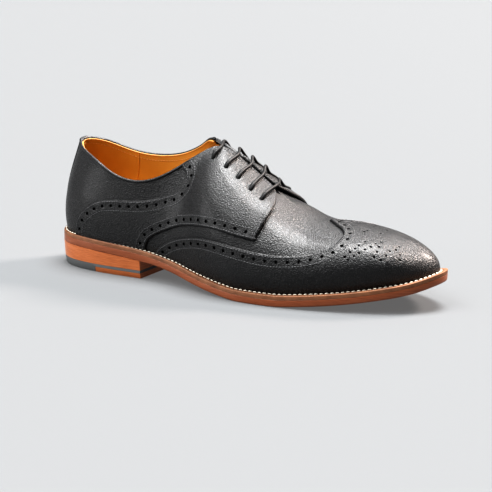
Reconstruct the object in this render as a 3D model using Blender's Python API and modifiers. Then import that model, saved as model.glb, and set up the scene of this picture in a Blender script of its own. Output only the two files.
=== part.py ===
"""Brogue derby, a right shoe: outsole, welt, stacked heel, insole, hollow upper,
wing cap, quarters, tongue and lace bars.

The frame has +X to the toe, +Y to the inner (medial) side and +Z up.
The origin is the middle of the heel's rubber rest, on the floor.
Lengths are metres and angles are degrees.
"""
import math

import bmesh
import bpy
import numpy as np
from mathutils import Vector

# Sole and last
SOLE_LENGTH = 0.304
BALL_WIDTH = 0.100
INSTEP_HEIGHT = 0.086
HEEL_HEIGHT = 0.0178
TOE_SPRING = 0.0200

# Thicknesses
OUTSOLE = 0.0050
WELT = 0.0030
INSOLE = 0.0025
UPPER_WALL = 0.0020
OVERLAY_WALL = 0.0013
TONGUE_WALL = 0.0020
HEEL_RUBBER = 0.0060
RUBBER_LIP = 0.0020

# How far the sole's edge stands out from the upper
MARGIN_BACK = 0.0025
MARGIN_BALL = 0.0055
MARGIN_TOE = 0.0072
WELT_DEPTH = 0.0060

# Stations along the sole, as shares of SOLE_LENGTH
HEEL_REST = 0.080
FRONT_LIFT = 0.150
HEEL_BREAST = 0.280

# Throat, eyelets and laces
THROAT_HALF_GAP = 0.0060
EYELET = 0.0030
LACE = 0.0024
LACE_ARCH = 0.0052

# Clearance between pieces that touch, and the reach of the cutters
GAP = 0.0003
REACH = BALL_WIDTH + INSTEP_HEIGHT

# The loft: ring steps for each section row, and steps from feather edge to top
RING_STEPS = 3
RISE_STEPS = 10
SOLE_STEPS = 3

# Rise of the sole's underside: station, share of HEEL_HEIGHT
HEEL_RISE = [
    (0.000, 1.000), (0.100, 0.972), (0.200, 0.880), (0.280, 0.765),
    (0.360, 0.560), (0.440, 0.280), (0.520, 0.080), (0.572, 0.000), (1.000, 0.000)]
# Rise of the sole's underside: station, share of TOE_SPRING
TOE_RISE = [
    (0.000, 0.000), (0.648, 0.000), (0.720, 0.090), (0.800, 0.240),
    (0.880, 0.455), (0.940, 0.660), (1.000, 1.000)]

# Feather edge, from heel to toe: station, side (share of BALL_WIDTH),
# outward lean of the upper there, length of the curve's lower handle (share of its chord)
FEATHER_LATERAL = [
    (0.042, -0.200, 12, 0.38), (0.106, -0.296, 10, 0.37), (0.190, -0.323, 8, 0.36),
    (0.290, -0.320, 8, 0.36), (0.385, -0.350, 12, 0.38), (0.470, -0.423, 16, 0.42),
    (0.555, -0.480, 20, 0.44), (0.640, -0.480, 22, 0.46), (0.730, -0.428, 24, 0.48),
    (0.820, -0.333, 24, 0.50), (0.910, -0.195, 24, 0.45)]
FEATHER_MEDIAL = [
    (0.042, 0.200, 14, 0.39), (0.106, 0.290, 10, 0.37), (0.190, 0.300, 8, 0.36),
    (0.290, 0.262, 10, 0.36), (0.385, 0.245, 14, 0.38), (0.475, 0.300, 18, 0.42),
    (0.565, 0.400, 22, 0.44), (0.655, 0.450, 22, 0.46), (0.745, 0.440, 24, 0.48),
    (0.835, 0.380, 24, 0.50), (0.921, 0.266, 24, 0.45)]
# Top line, from heel to throat: station, side, rise above the feather edge
# (share of INSTEP_HEIGHT), fall of the surface at its top, length of the upper handle
COLLAR_LATERAL = [
    (0.075, -0.160, 0.740, 78, 0.33), (0.135, -0.262, 0.672, 84, 0.33),
    (0.208, -0.305, 0.575, 86, 0.33), (0.299, -0.295, 0.608, 82, 0.33),
    (0.386, -0.195, 0.845, 64, 0.34), (0.449, -0.060, 1.000, 30, 0.36)]
COLLAR_MEDIAL = [
    (0.074, 0.155, 0.772, 79, 0.33), (0.134, 0.255, 0.698, 84, 0.33),
    (0.205, 0.300, 0.680, 86, 0.33), (0.284, 0.290, 0.748, 82, 0.33),
    (0.357, 0.190, 0.910, 64, 0.34), (0.415, 0.060, 1.005, 30, 0.36)]
# Ridge over the instep, shared by both sides: station, side, rise, upper handle
RIDGE = [
    (0.516, 0.005, 0.880, 0.38), (0.601, 0.015, 0.686, 0.40), (0.691, 0.025, 0.522, 0.46),
    (0.778, 0.035, 0.449, 0.60), (0.849, 0.043, 0.372, 0.56)]
# Back seam and toe: feather station and side, top station and side, rise, lean, fall, handles
BACK_ROW = (0.012, 0.000, 0.042, 0.000, 0.790, 15, 75, 0.40, 0.33)
TOE_ROW = (0.974, 0.046, 0.884, 0.045, 0.324, 12, 0, 0.26, 0.45)

# Edges of the overlays in side view: station, rise above the feather edge
QUARTER_BACK_EDGE = [
    (0.076, -0.10), (0.082, 0.02), (0.090, 0.12), (0.105, 0.20), (0.136, 0.29),
    (0.175, 0.34), (0.245, 0.39), (0.325, 0.475), (0.368, 0.555), (0.387, 0.640),
    (0.385, 0.710), (0.374, 0.780), (0.360, 0.860)]
QUARTER_LOW_EDGE = [
    (0.286, -0.10), (0.292, 0.03), (0.303, 0.12), (0.332, 0.20), (0.362, 0.265),
    (0.392, 0.325), (0.424, 0.375), (0.457, 0.410), (0.490, 0.433), (0.520, 0.445),
    (0.545, 0.440), (0.568, 0.430), (0.592, 0.410), (0.601, 0.400)]
WING_EDGE = [
    (0.308, -0.10), (0.320, 0.02), (0.332, 0.075), (0.361, 0.160), (0.393, 0.228),
    (0.427, 0.285), (0.459, 0.322), (0.491, 0.342), (0.520, 0.348), (0.546, 0.345),
    (0.571, 0.337), (0.608, 0.320), (0.642, 0.309), (0.677, 0.306), (0.707, 0.309),
    (0.728, 0.316), (0.746, 0.330), (0.764, 0.352), (0.779, 0.402)]
# Edges of the overlays seen from above: station, distance out from the ridge
# (share of BALL_WIDTH)
FACING_FRONT_EDGE = [
    (0.578, 0.075), (0.589, 0.110), (0.598, 0.155), (0.607, 0.235), (0.610, 0.380),
    (0.606, 0.445), (0.601, 0.495)]
WING_PEAK_EDGE = [(0.722, 0.000), (0.736, 0.065), (0.757, 0.118), (0.774, 0.190), (0.779, 0.245)]

# Eyelets: ring parameter on the lateral side, share of the way up the section,
# height of the lace's bar over the ridge (share of LACE_ARCH)
EYELETS = [
    (6.05, 0.84, 0.80), (6.60, 0.78, 0.70), (7.00, 0.745, 0.85),
    (7.35, 0.72, 1.00), (7.65, 0.70, 1.00)]

# Tongue above the top line: steps of the ring beyond it, share of the width left
TONGUE_TIP = [(0.4, 0.82), (0.8, 0.58)]

# Rows of the ring: back seam 0, lateral 1 to 11, toe 12, medial 13 to 23
SIDE_ROWS = 11
TOE = SIDE_ROWS + 1
RING = 2 * TOE
FIRST_RIDGE = 7

# Colour, roughness and metallic value
FINISHES = {
    "black_leather": ((0.012, 0.012, 0.013, 1.0), 0.34, 0.0),
    "tan_lining": ((0.62, 0.23, 0.055, 1.0), 0.60, 0.0),
    "welt_leather": ((0.60, 0.36, 0.20, 1.0), 0.55, 0.0),
    "sole_leather": ((0.42, 0.16, 0.075, 1.0), 0.45, 0.0),
    "rubber": ((0.020, 0.020, 0.022, 1.0), 0.75, 0.0),
    "lace_cord": ((0.010, 0.010, 0.010, 1.0), 0.60, 0.0),
}


def smooth_curve(table, at):
    """Monotone cubic through the table's (place, value) rows, read at the places given."""
    xs, ys = np.array(table, float).T[:2]
    step = np.diff(xs)
    slope = np.diff(ys) / step
    tangent = np.concatenate([slope[:1], np.zeros(len(xs) - 2), slope[-1:]])
    for i in range(1, len(xs) - 1):
        before, after = slope[i - 1], slope[i]
        if before * after > 0:
            near = 2 * step[i] + step[i - 1]
            far = step[i] + 2 * step[i - 1]
            tangent[i] = (near + far) / (near / before + far / after)
    at = np.clip(np.asarray(at, float), xs[0], xs[-1])
    i = np.clip(np.searchsorted(xs, at, side="right") - 1, 0, len(step) - 1)
    s = (at - xs[i]) / step[i]
    return ((1 + 2 * s) * (1 - s) ** 2 * ys[i] + s * (1 - s) ** 2 * step[i] * tangent[i]
            + s * s * (3 - 2 * s) * ys[i + 1] + s * s * (s - 1) * step[i] * tangent[i + 1])


def ring_curve(rows, at):
    """Closed cubic spline through the rows, row i at ring parameter i."""
    count = len(rows)
    matrix = 4 * np.eye(count) + np.roll(np.eye(count), 1, 0) + np.roll(np.eye(count), -1, 0)
    bend = np.linalg.solve(matrix, 6 * (np.roll(rows, -1, 0) - 2 * rows + np.roll(rows, 1, 0)))
    at = np.asarray(at, float) % count
    i = np.floor(at).astype(int) % count
    j = (i + 1) % count
    f = (at - np.floor(at))[:, None]
    return ((1 - f) * rows[i] + f * rows[j]
            + ((1 - f) ** 3 - (1 - f)) * bend[i] / 6 + (f ** 3 - f) * bend[j] / 6)


def sole_rise(x):
    """Height of the outsole's underside above the floor."""
    station = np.asarray(x, float) / SOLE_LENGTH
    return HEEL_HEIGHT * smooth_curve(HEEL_RISE, station) + TOE_SPRING * smooth_curve(TOE_RISE, station)


def feather_height(x):
    """Height of the feather edge, where the upper meets the welt."""
    return sole_rise(x) + OUTSOLE + WELT


def one_side(feather, collar):
    """Section rows of one side, from the heel to the toe."""
    rows = []
    for (fx, fy, lean, low), (tx, ty, rise, fall, high) in zip(feather, collar):
        rows.append((fx, fy, tx, ty, rise, lean, fall, low, high))
    for (fx, fy, lean, low), (tx, ty, rise, high) in zip(feather[len(collar):], RIDGE):
        rows.append((fx, fy, tx, ty, rise, lean, 0, low, high))
    return rows


def section_rows():
    """All section rows round the ring, in metres."""
    lateral = one_side(FEATHER_LATERAL, COLLAR_LATERAL)
    medial = one_side(FEATHER_MEDIAL, COLLAR_MEDIAL)
    rows = np.array([BACK_ROW, *lateral, TOE_ROW, *reversed(medial)], float)
    return rows * [SOLE_LENGTH, BALL_WIDTH, SOLE_LENGTH, BALL_WIDTH, INSTEP_HEIGHT, 1, 1, 1, 1]


def sections(at):
    """Section values at ring parameters. Both sides take one ridge."""
    rows = section_rows()
    at = np.asarray(at, float) % RING
    values = ring_curve(rows, at)
    lateral = ring_curve(rows, np.where(at > TOE, RING - at, at))
    share = np.clip(TOE - FIRST_RIDGE + 1 - np.abs(at - TOE), 0, 1)
    share = (share * share * (3 - 2 * share))[:, None]
    values[:, 2:5] = (1 - share) * values[:, 2:5] + share * lateral[:, 2:5]
    return values


def outward(at):
    """Unit normal of the feather edge, seen from above."""
    step = 0.001
    along = (sections(np.asarray(at, float) + step) - sections(np.asarray(at, float) - step))[:, :2]
    normal = np.stack([along[:, 1], -along[:, 0]], -1)
    return normal / np.linalg.norm(normal, axis=1, keepdims=True)


def ridge_slope(x):
    """Slope of the instep's ridge in side view."""
    ridge = section_rows()[FIRST_RIDGE - 1:TOE + 1]
    line = np.stack([ridge[:, 2], feather_height(ridge[:, 2]) + ridge[:, 4]], -1)
    step = 0.0001
    x = np.clip(x, line[0, 0] + step, line[-1, 0] - step)
    return (smooth_curve(line, x + step) - smooth_curve(line, x - step)) / (2 * step)


def ridge_side(x):
    """How far to the side the ridge lies at x."""
    ridge = section_rows()[FIRST_RIDGE - 1:TOE + 1]
    return smooth_curve(ridge[:, 2:4], x)


def last_surface(at, up):
    """Points of the upper's outside: ring parameters by shares of the way up."""
    at = np.asarray(at, float)
    fx, fy, tx, ty, rise, lean, fall, low, high = sections(at).T
    foot = np.stack([fx, fy, feather_height(fx)], -1)
    top = np.stack([tx, ty, feather_height(tx) + rise], -1)
    chord = np.linalg.norm(top - foot, axis=1)[:, None]
    out = outward(at)
    slope = ridge_slope(tx)
    forward = np.stack([np.ones_like(slope), 0 * slope, slope], -1) / np.sqrt(1 + slope ** 2)[:, None]
    lean = np.radians(lean)[:, None]
    fall = np.radians(fall)[:, None]
    vertical = np.array([[0.0, 0.0, 1.0]])
    sideways = np.array([[0.0, 1.0, 0.0]])
    rising = np.concatenate([out, 0 * lean], 1) * np.sin(lean) + vertical * np.cos(lean)
    falling = (out[:, :1] * forward + out[:, 1:] * sideways) * np.cos(fall) - vertical * np.sin(fall)
    handles = (foot, foot + rising * chord * low[:, None], top + falling * chord * high[:, None], top)
    up = np.asarray(up, float)
    weights = ((1 - up) ** 3, 3 * up * (1 - up) ** 2, 3 * up ** 2 * (1 - up), up ** 3)
    return sum(w[None, :, None] * p[:, None, :] for w, p in zip(weights, handles))


def finish(name):
    """Material of that name, made once."""
    material = bpy.data.materials.get(name)
    if material is None:
        colour, roughness, metallic = FINISHES[name]
        material = bpy.data.materials.new(name)
        material.use_nodes = True
        shader = material.node_tree.nodes["Principled BSDF"]
        shader.inputs["Base Color"].default_value = colour
        shader.inputs["Roughness"].default_value = roughness
        shader.inputs["Metallic"].default_value = metallic
        material.diffuse_color = colour
    return material


class Model:
    """The scene's collections, and the empty that puts the origin under the heel."""

    def __init__(self):
        for old in list(bpy.data.objects):
            bpy.data.objects.remove(old, do_unlink=True)
        self.parts = bpy.data.collections.new("brogue_derby")
        self.cutters = bpy.data.collections.new("cutters")
        for collection in (self.parts, self.cutters):
            bpy.context.scene.collection.children.link(collection)
        self.base = bpy.data.objects.new("heel_rest", None)
        self.base.location = (-HEEL_REST * SOLE_LENGTH, 0, 0)
        self.parts.objects.link(self.base)

    def add(self, name, mesh, material):
        mesh.materials.append(finish(material))
        mesh.shade_smooth()
        mesh.set_sharp_from_angle(angle=math.radians(40))
        part = bpy.data.objects.new(name, mesh)
        part.parent = self.base
        self.parts.objects.link(part)
        return part

    def add_cutter(self, name, mesh):
        cutter = bpy.data.objects.new(name, mesh)
        cutter.parent = self.base
        cutter.hide_render = True
        cutter.display_type = "WIRE"
        self.cutters.objects.link(cutter)
        return cutter


def mesh_from(name, points, faces):
    """Mesh with outward faces from points and faces worked out by a loft; points that meet are one."""
    mesh = bpy.data.meshes.new(name)
    mesh.from_pydata([tuple(p) for p in points], [], faces)
    work = bmesh.new()
    work.from_mesh(mesh)
    bmesh.ops.remove_doubles(work, verts=work.verts, dist=0.00001)
    bmesh.ops.dissolve_degenerate(work, edges=work.edges, dist=0.00001)
    bmesh.ops.recalc_face_normals(work, faces=work.faces)
    work.to_mesh(mesh)
    work.free()
    return mesh


def prism(model, name, outline, axis, low, high):
    """Cutter: a flat outline swept along an axis (1 for Y, 2 for Z) from low to high."""
    work = bmesh.new()
    corners = [work.verts.new((x, low, z) if axis == 1 else (x, z, low)) for x, z in outline]
    face = work.faces.new(corners)
    swept = bmesh.ops.extrude_face_region(work, geom=[face])
    top = [item for item in swept["geom"] if isinstance(item, bmesh.types.BMVert)]
    sweep = Vector((0, high - low, 0) if axis == 1 else (0, 0, high - low))
    bmesh.ops.translate(work, verts=top, vec=sweep)
    bmesh.ops.recalc_face_normals(work, faces=work.faces)
    mesh = bpy.data.meshes.new(name)
    work.to_mesh(mesh)
    work.free()
    return model.add_cutter(name, mesh)


def cut(part, cutter, operation):
    """Boolean modifier on the part."""
    step = part.modifiers.new(cutter.name, "BOOLEAN")
    step.operation = operation
    step.solver = "EXACT"
    step.object = cutter


def through(rows, steps):
    """Rounded line through outline rows, with steps between each two rows."""
    rows = np.array(rows, float)
    places = np.concatenate([[0], np.cumsum(np.linalg.norm(np.diff(rows, axis=0), axis=1))])
    at = np.interp(np.linspace(0, len(rows) - 1, steps * (len(rows) - 1) + 1), range(len(rows)), places)
    return np.stack([smooth_curve(np.stack([places, rows[:, k]], -1), at) for k in (0, 1)], -1)


def side_line(table):
    """Side-view points of an edge given by station and rise above the feather edge."""
    edge = through(table, 2)
    x = edge[:, 0] * SOLE_LENGTH
    return list(zip(x, feather_height(x) + edge[:, 1] * INSTEP_HEIGHT))


def top_line(table, side):
    """Top-view points of an edge given by station and distance out from the ridge."""
    edge = through(table, 2)
    x = edge[:, 0] * SOLE_LENGTH
    return list(zip(x, ridge_side(x) + side * edge[:, 1] * BALL_WIDTH))


class LastGrid:
    """The upper's outer surface as a grid of points with their normals."""

    def __init__(self):
        self.ring = RING * RING_STEPS
        at = np.arange(self.ring) / RING_STEPS
        up = np.linspace(0, 1, RISE_STEPS + 1)
        surface = last_surface(at, up)
        self.index = {}
        self.points = []
        for i in range(self.ring):
            for j in range(RISE_STEPS + 1):
                twin = (self.ring - i, j)
                on_ridge = j == RISE_STEPS and at[i] > TOE and at[i] <= RING - FIRST_RIDGE
                if on_ridge:
                    self.index[i, j] = self.index[twin]
                else:
                    self.index[i, j] = len(self.points)
                    self.points.append(surface[i, j])
        self.cells = [(i, j) for i in range(self.ring) for j in range(RISE_STEPS)]
        mesh = mesh_from("last", self.points, [self.face(cell) for cell in self.cells])
        self.points = np.array(self.points)
        self.normals = np.array([tuple(v.normal) for v in mesh.vertices])
        heel = self.index[0, 0]
        if self.normals[heel][0] > 0:
            self.normals = -self.normals
        bpy.data.meshes.remove(mesh)

    def face(self, cell):
        i, j = cell
        k = (i + 1) % self.ring
        corners = [self.index[i, j], self.index[k, j], self.index[k, j + 1], self.index[i, j + 1]]
        return list(dict.fromkeys(corners))

    def halves(self, cell):
        """The cell as triangles, cut the same way on every shell so that the shells stay parallel."""
        loop = self.face(cell)
        return [[loop[0], loop[k], loop[k + 1]] for k in range(1, len(loop) - 1)]

    def offset(self, i, j, distance):
        """Grid point moved out along its normal."""
        return self.moved([self.index[i % self.ring, j]], distance)[0]

    def moved(self, chosen, distance):
        """Points moved out along their normals; those of the feather edge stay level with it."""
        moved = self.points[chosen] + self.normals[chosen] * distance
        feather = np.isin(chosen, [self.index[i, 0] for i in range(self.ring)])
        moved[feather, 2] = feather_height(moved[feather, 0])
        return moved

    def shell(self, name, inner, outer, wanted):
        """Closed shell between two offsets of the surface, over the wanted cells."""
        cells = [cell for cell in self.cells if wanted(cell[0] / RING_STEPS)]
        used = sorted({n for cell in cells for n in self.face(cell)})
        place = {n: k for k, n in enumerate(used)}
        inside = self.moved(used, inner)
        outside = self.moved(used, outer)
        faces = []
        edges = set()
        for half in (half for cell in cells for half in self.halves(cell)):
            loop = [place[n] for n in half]
            faces.append([n + len(used) for n in loop])
            faces.append(loop[::-1])
            for a, b in zip(loop, loop[1:] + loop[:1]):
                edges.add((a, b))
        for a, b in sorted(edges):
            if (b, a) not in edges:
                faces.append([a, b, b + len(used), a + len(used)])
        return mesh_from(name, np.concatenate([inside, outside]), faces)


def sole_ring():
    """Ring parameters of the sole's outlines."""
    return np.arange(RING * SOLE_STEPS) / SOLE_STEPS


def sole_margin(at):
    """How far the sole's edge stands out from the feather edge."""
    table = [(0.0, MARGIN_BACK), (0.25, 0.5 * (MARGIN_BACK + MARGIN_BALL) - 0.0005),
             (0.5, MARGIN_BALL), (1.0, MARGIN_TOE)]
    return smooth_curve(table, sections(at)[:, 0] / SOLE_LENGTH)


def outline(out_from_feather):
    """Closed outline at a distance out from the feather edge, as x and y."""
    at = sole_ring()
    return sections(at)[:, :2] + outward(at) * np.reshape(out_from_feather, (-1, 1))


def cross_strips(loop):
    """Faces across a closed loop whose points pair up from side to side."""
    count = len(loop)
    faces = []
    for i in range(count // 2):
        corners = [loop[i], loop[i + 1], loop[(count - i - 1) % count], loop[(count - i) % count]]
        faces.append(list(dict.fromkeys(corners)))
    return faces


def stacked(name, rings, hollow=False):
    """Solid through rings of points with equal counts: closed by strips, or by its first ring."""
    count = len(rings[0])
    points = np.concatenate(rings)
    faces = []
    layers = list(range(len(rings)))
    pairs = list(zip(layers, layers[1:]))
    if hollow:
        pairs.append((layers[-1], 0))
    for low, high in pairs:
        for i in range(count):
            k = (i + 1) % count
            faces.append([low * count + i, low * count + k, high * count + k, high * count + i])
    if not hollow:
        faces += cross_strips(list(range(count)))
        faces += cross_strips([layers[-1] * count + i for i in range(count)])
    return mesh_from(name, points, faces)


def sole_layer(profile):
    """Rings of a layer of the sole: each profile row is inset and height above the underside."""
    rings = []
    for out, height in profile:
        edge = outline(out)
        rings.append(np.column_stack([edge, sole_rise(edge[:, 0]) + height]))
    return rings


def make_outsole(model):
    margin = sole_margin(sole_ring())
    edge = 0.0009
    rings = sole_layer([
        (margin - edge, 0), (margin, edge), (margin, OUTSOLE - GAP - edge / 2),
        (margin - edge / 2, OUTSOLE - GAP)])
    model.add("outsole", stacked("outsole", rings), "sole_leather")


def make_welt(model):
    margin = sole_margin(sole_ring())
    edge = 0.0005
    top = OUTSOLE + WELT - GAP
    rings = sole_layer([
        (margin - edge, OUTSOLE), (margin, OUTSOLE + edge), (margin, top - edge),
        (margin - edge, top), (0 * margin - WELT_DEPTH, top), (0 * margin - WELT_DEPTH, OUTSOLE)])
    model.add("welt", stacked("welt", rings, hollow=True), "welt_leather")


def make_insole(model):
    """Insole on the welt, with its filler let down inside the welt."""
    zero = np.zeros(RING * SOLE_STEPS)
    filler = zero - WELT_DEPTH - GAP
    rim = zero - UPPER_WALL - 2 * GAP
    seat = OUTSOLE + WELT
    rings = sole_layer([
        (filler, OUTSOLE), (filler, seat), (rim, seat), (rim, seat + INSOLE / 2),
        (rim - INSOLE / 4, seat + INSOLE)])
    model.add("insole", stacked("insole", rings), "tan_lining")


def heel_outline(inset, start, end):
    """Outline of the heel between two stations, closed by straight lines across."""
    at = sole_ring()
    edge = outline(sole_margin(at) - inset)
    half = len(at) // 2
    lateral = edge[:half]
    medial = np.concatenate([edge[:1], edge[:half:-1]])
    lines = []
    for line in (lateral, medial):
        line = line[:np.argmax(line[:, 0])]
        x = np.linspace(max(start * SOLE_LENGTH, line[0, 0]), end * SOLE_LENGTH, 2)
        inside = line[(line[:, 0] > x[0] + 0.001) & (line[:, 0] < x[1] - 0.001)]
        ends = np.stack([x, np.interp(x, line[:, 0], line[:, 1])], -1)
        lines.append(np.concatenate([ends[:1], inside, ends[1:]]))
    return np.concatenate([lines[0], lines[1][::-1]])


def heel_slab(name, start, end, rings):
    """Solid between rings of the heel; each ring is an inset and a height or the sole's own."""
    loops = []
    for inset, height in rings:
        loop = heel_outline(inset, start, end)
        z = sole_rise(loop[:, 0]) - GAP if height is None else np.full(len(loop), height)
        loops.append(np.column_stack([loop, z]))
    count = len(loops[0])
    points = np.concatenate(loops)
    faces = []
    for low in range(len(loops) - 1):
        for i in range(count):
            k = (i + 1) % count
            faces.append([low * count + i, low * count + k, (low + 1) * count + k, (low + 1) * count + i])
    for first in (0, (len(loops) - 1) * count):
        for i in range(count // 2 - 1):
            faces.append([first + i, first + i + 1, first + count - 2 - i, first + count - 1 - i])
    return mesh_from(name, points, faces)


def make_heel(model):
    """Leather stack, rubber lift with a thin lip over the front, and the front's leather lift."""
    taper = 0.0018
    lip_floor = HEEL_RUBBER - RUBBER_LIP
    stack = heel_slab("heel_stack", 0, HEEL_BREAST, [(taper / 2, HEEL_RUBBER + GAP), (0.0003, None)])
    model.add("heel_stack", stack, "sole_leather")
    rubber = heel_slab("heel_rubber", 0, HEEL_BREAST, [(taper, 0), (taper / 2, HEEL_RUBBER)])
    part = model.add("heel_rubber", rubber, "rubber")
    corners = [(FRONT_LIFT * SOLE_LENGTH, -REACH), (REACH, -REACH), (REACH, lip_floor),
               (FRONT_LIFT * SOLE_LENGTH, lip_floor)]
    cut(part, prism(model, "lift_recess", corners, 1, -REACH, REACH), "DIFFERENCE")
    front = heel_slab("heel_front_lift", FRONT_LIFT + GAP / SOLE_LENGTH, HEEL_BREAST,
                      [(taper, 0), (0.6 * taper, lip_floor - GAP)])
    model.add("heel_front_lift", front, "sole_leather")


def make_upper(model, grid):
    """Hollow upper: vamp, collar and lining in one wall, open above, at the throat and below."""
    mesh = grid.shell("upper", -UPPER_WALL, 0.0, lambda at: True)
    part = model.add("upper", mesh, "black_leather")
    x0, x1 = COLLAR_MEDIAL[-1][0] * SOLE_LENGTH, FACING_FRONT_EDGE[0][0] * SOLE_LENGTH
    x = np.linspace(x0 - THROAT_HALF_GAP * 2, x1, 8)
    near = list(zip(x, ridge_side(x) - THROAT_HALF_GAP))
    far = list(zip(x, ridge_side(x) + THROAT_HALF_GAP))
    tip = [(x1 + THROAT_HALF_GAP, float(ridge_side(x1)))]
    throat = prism(model, "throat_cutter", near + tip + far[::-1], 2, INSTEP_HEIGHT / 2, 2 * INSTEP_HEIGHT)
    cut(part, throat, "DIFFERENCE")
    return part


def make_wing_cap(model, grid):
    """Cap over the toe with a peak on the ridge and wings that run back to the waist."""
    start, end = FIRST_RIDGE - 3, RING - FIRST_RIDGE + 3
    mesh = grid.shell("wing_cap", GAP, GAP + OVERLAY_WALL, lambda at: start <= at < end)
    part = model.add("wing_cap", mesh, "black_leather")
    low = side_line(WING_EDGE)
    side = low + [(low[-1][0], REACH + INSTEP_HEIGHT), (0, REACH + INSTEP_HEIGHT), (0, low[0][1])]
    window = prism(model, "wing_window", side, 1, -REACH, REACH)
    near = top_line(WING_PEAK_EDGE, -1)
    far = top_line(WING_PEAK_EDGE, 1)
    corner = near[-1][0]
    peak = ([(0, -REACH), (corner, -REACH)] + near[::-1] + far[1:]
            + [(corner, REACH), (0, REACH)])
    cut(window, prism(model, "wing_peak", peak, 2, -REACH, 2 * REACH), "INTERSECT")
    cut(part, window, "DIFFERENCE")


def make_quarter(model, grid, name, side):
    """Quarter of one side (side -1 lateral, 1 medial), from the facing to the heel."""
    if side < 0:
        mesh = grid.shell(name, GAP, GAP + OVERLAY_WALL, lambda at: 1 <= at < FIRST_RIDGE + 1.9)
    else:
        mesh = grid.shell(name, GAP, GAP + OVERLAY_WALL,
                          lambda at: RING - FIRST_RIDGE - 2 <= at < RING - 1)
    part = model.add(name, mesh, "black_leather")
    back = side_line(QUARTER_BACK_EDGE)
    low = side_line(QUARTER_LOW_EDGE)
    high = REACH + INSTEP_HEIGHT
    front = SOLE_LENGTH * 0.66
    side_view = back + [(back[-1][0], high), (front, high), (front, low[-1][1])] + low[::-1]
    cut(part, prism(model, name + "_side", side_view, 1, -REACH, REACH), "INTERSECT")
    edge = top_line(FACING_FRONT_EDGE, side)
    x = np.linspace(COLLAR_MEDIAL[-1][0] * SOLE_LENGTH - 2 * THROAT_HALF_GAP, edge[0][0] - 0.004, 6)
    facing = list(zip(x, ridge_side(x) + side * THROAT_HALF_GAP))
    above = ([(0, side * REACH), (0, side * THROAT_HALF_GAP)] + facing + edge
             + [(edge[-1][0], side * REACH)])
    cut(part, prism(model, name + "_top", above, 2, -REACH, 2 * REACH), "INTERSECT")
    return part


def punch_eyelets(model, parts):
    """Round holes for the lace through quarter and upper, one cutter for each hole."""
    for number, (at, up, _) in enumerate(EYELETS, 1):
        for side, ring in (("lateral", at), ("medial", RING - at)):
            place, normal = surface_frame(ring, up)
            work = bmesh.new()
            bmesh.ops.create_cone(work, cap_ends=True, segments=10, radius1=EYELET / 2,
                                  radius2=EYELET / 2, depth=8 * UPPER_WALL)
            mesh = bpy.data.meshes.new("eyelet")
            work.to_mesh(mesh)
            work.free()
            cutter = model.add_cutter(f"eyelet_{side}_{number}", mesh)
            cutter.location = place
            cutter.rotation_mode = "QUATERNION"
            cutter.rotation_quaternion = normal.to_track_quat("Z", "Y")
            cut(parts["upper"], cutter, "DIFFERENCE")
            cut(parts[side], cutter, "DIFFERENCE")


def surface_frame(at, up):
    """Point and outward normal of the upper's surface."""
    step = 0.01
    grid = last_surface([at - step, at, at + step], [up - step, up, min(up + step, 1)])
    around = grid[2, 1] - grid[0, 1]
    rising = grid[1, 2] - grid[1, 0]
    normal = Vector(np.cross(around, rising)).normalized()
    return Vector(grid[1, 1]), normal


def make_tongue(model, grid):
    """Tongue under the throat, just inside the wall of the upper."""
    depth = UPPER_WALL + 2 * GAP
    first = (FIRST_RIDGE + 1) * RING_STEPS + 1
    last = (FIRST_RIDGE - 1) * RING_STEPS
    reach = 3
    rows = []
    for i in range(first, last - 1, -1):
        near = [grid.offset(i, j, -depth) for j in range(RISE_STEPS - reach, RISE_STEPS + 1)]
        far = [grid.offset(-i, j, -depth) for j in range(RISE_STEPS, RISE_STEPS - reach - 1, -1)]
        rows.append(np.array(near + [0.5 * (near[-1] + far[0])] + far))
    top = rows[-1]
    run = top - rows[-2]
    middle = top[reach + 1]
    for beyond, width in TONGUE_TIP:
        rows.append(middle + (top - middle) * width + run * beyond)
    rows = np.array(rows)
    count = rows.shape[1]
    faces = []
    for r, c in np.ndindex(len(rows) - 1, count - 1):
        here, above = r * count + c, (r + 1) * count + c
        faces += [[here, here + 1, above], [here + 1, above + 1, above]]
    points = rows.reshape(-1, 3)
    mesh = mesh_from("tongue", points, faces)
    if mesh.vertices[count // 2].normal.z < 0:
        mesh.flip_normals()
    part = model.add("tongue", mesh, "black_leather")
    wall = part.modifiers.new("wall", "SOLIDIFY")
    wall.thickness = TONGUE_WALL
    wall.offset = -1


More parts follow.
